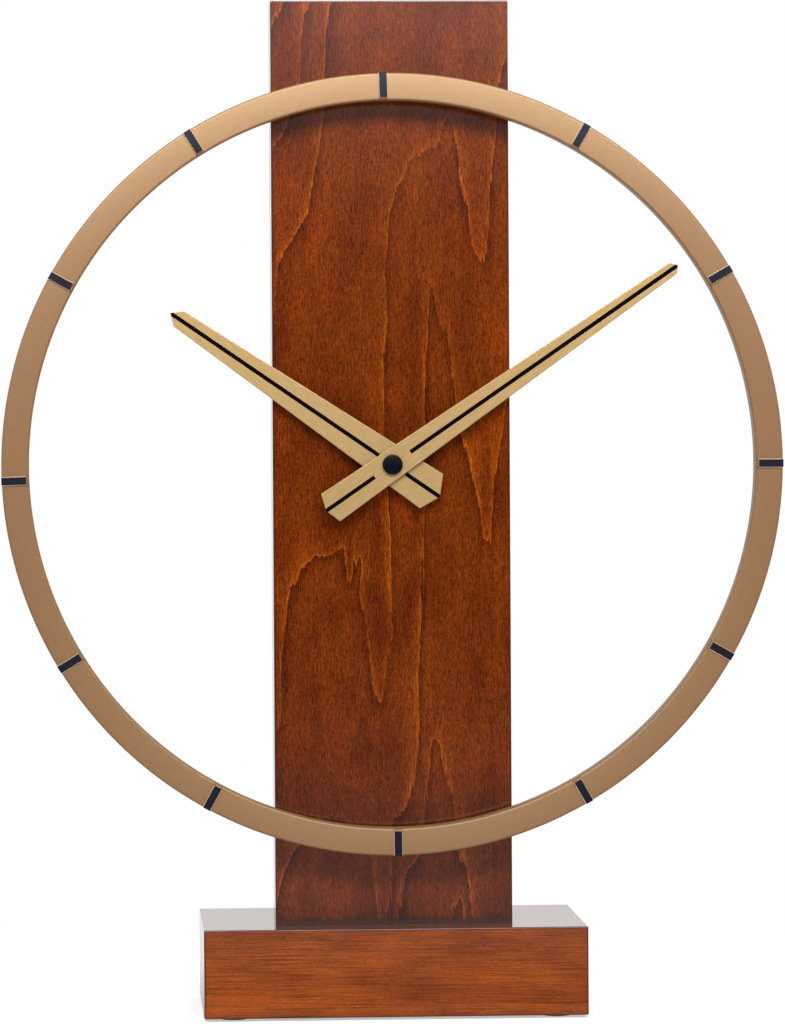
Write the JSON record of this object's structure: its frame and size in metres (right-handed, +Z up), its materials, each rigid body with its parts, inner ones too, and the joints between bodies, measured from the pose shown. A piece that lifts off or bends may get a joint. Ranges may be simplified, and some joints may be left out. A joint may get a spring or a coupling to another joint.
{
  "type": "table clock",
  "caption": "Tall table clock: wooden panel on a wooden base, open metal hour ring stood off its face, tapered hands and a battery quartz movement in the back.",
  "frame": {"origin": "middle of the footprint, on the surface the clock stands on", "axes": "+Z up, the clock faces -Y, +X is to the right seen from the front"},
  "size_m": [0.3373, 0.1, 0.44],
  "materials": {
    "stained_wood": "red-brown stained veneer under satin lacquer",
    "dowel_wood": "plain beech",
    "rubber_pad": "matt black",
    "rubber_ring": "matt black",
    "zinc_steel": "zinc plated",
    "gold_paint": "satin copper-gold paint",
    "spacer_metal": "turned",
    "mark_black": "satin black",
    "hand_metal": "satin champagne gold anodised",
    "line_black": "printed black",
    "brass_fittings": "turned",
    "cap_black": "gloss black",
    "case_plastic": "moulded black",
    "bearing_plastic": "moulded natural white",
    "wheel_plastic": "moulded natural acetal",
    "knob_plastic": "moulded white",
    "magnet": "sintered, dark grey",
    "lamination": "blanked sheet",
    "copper_wire": "enamelled copper wire",
    "board": "green solder mask",
    "epoxy": "cured black epoxy",
    "crystal_can": "drawn can",
    "cell_sleeve": "plain printed sleeve",
    "contact_metal": "nickel plated spring strip"
  },
  "bodies": {
    "stand": {"base_block": "stained_wood", "base_feet": "rubber_pad", "base_screws": "zinc_steel", "panel_dowels": "dowel_wood", "upright_panel": "stained_wood", "dial_ring": "gold_paint", "ring_spacers": "spacer_metal", "ring_screws": "zinc_steel", "hour_mark_01": "gold_paint", "hour_mark_02": "gold_paint", "hour_mark_03": "gold_paint", "hour_mark_04": "gold_paint", "hour_mark_05": "gold_paint", "hour_mark_06": "gold_paint", "hour_mark_07": "gold_paint", "hour_mark_08": "gold_paint", "hour_mark_09": "gold_paint", "hour_mark_10": "gold_paint", "hour_mark_11": "gold_paint", "hour_mark_12": "gold_paint", "mark_inlays": "mark_black", "movement_front_shell": "case_plastic", "movement_back_cover": "case_plastic", "bearing_plate": "bearing_plastic", "threaded_bushing": "brass_fittings", "rubber_washer": "rubber_ring", "flat_washer": "zinc_steel", "hex_nut": "brass_fittings", "stator": "lamination", "coil_core": "lamination", "coil_bobbin": "bearing_plastic", "coil_winding": "copper_wire", "circuit_board": "board", "chip_blob": "epoxy", "quartz_crystal": "crystal_can", "battery_cell": "cell_sleeve", "positive_contact": "contact_metal", "negative_contact": "contact_metal"},
    "minute_set": {"minute_hand": "hand_metal", "minute_hand_stripes": "line_black", "minute_hand_collet": "brass_fittings", "centre_cap": "cap_black", "minute_arbor": "wheel_plastic", "centre_wheel": "wheel_plastic"},
    "hour_set": {"hour_hand": "hand_metal", "hour_hand_stripes": "line_black", "hour_hand_collet": "brass_fittings", "hour_wheel": "wheel_plastic"},
    "reversing_set": {"reversing_wheel": "wheel_plastic"},
    "setting_knob": {"set_knob": "knob_plastic"},
    "third_set": {"third_wheel": "wheel_plastic"},
    "second_set": {"second_wheel": "wheel_plastic"},
    "intermediate_set": {"intermediate_wheel": "wheel_plastic"},
    "rotor_set": {"rotor_pinion": "wheel_plastic", "rotor_magnet": "magnet"}
  },
  "joints": [
    {"name": "minute_spin", "type": "hinge", "parent": "stand", "child": "minute_set", "pos_m": [0, -0.02, 0.2393], "axis": [0, 1, 0], "continuous": true},
    {"name": "hour_spin", "type": "hinge", "parent": "stand", "child": "hour_set", "pos_m": [0, -0.02, 0.2393], "axis": [0, 1, 0], "continuous": true},
    {"name": "reversing_spin", "type": "hinge", "parent": "stand", "child": "reversing_set", "pos_m": [-0.00789, -0.02, 0.23643], "axis": [0, 1, 0], "continuous": true},
    {"name": "knob_spin", "type": "hinge", "parent": "stand", "child": "setting_knob", "pos_m": [-0.01629, -0.02, 0.23643], "axis": [0, 1, 0], "continuous": true},
    {"name": "second_spin", "type": "hinge", "parent": "stand", "child": "second_set", "pos_m": [0, -0.02, 0.2393], "axis": [0, 1, 0], "continuous": true},
    {"name": "third_spin", "type": "hinge", "parent": "stand", "child": "third_set", "pos_m": [-0.00831, -0.02, 0.2441], "axis": [0, 1, 0], "continuous": true},
    {"name": "intermediate_spin", "type": "hinge", "parent": "stand", "child": "intermediate_set", "pos_m": [0.0072, -0.02, 0.24534], "axis": [0, 1, 0], "continuous": true},
    {"name": "rotor_spin", "type": "hinge", "parent": "stand", "child": "rotor_set", "pos_m": [0.0107, -0.02, 0.2514], "axis": [0, 1, 0], "continuous": true}
  ],
  "couplings": [
    {"joint": "hour_spin", "follows": "minute_spin", "ratio": 0.083333},
    {"joint": "reversing_spin", "follows": "minute_spin", "ratio": -0.33333},
    {"joint": "knob_spin", "follows": "minute_spin", "ratio": 1},
    {"joint": "third_spin", "follows": "minute_spin", "ratio": -8},
    {"joint": "second_spin", "follows": "minute_spin", "ratio": 60},
    {"joint": "intermediate_spin", "follows": "minute_spin", "ratio": -300},
    {"joint": "rotor_spin", "follows": "minute_spin", "ratio": 1800}
  ]
}
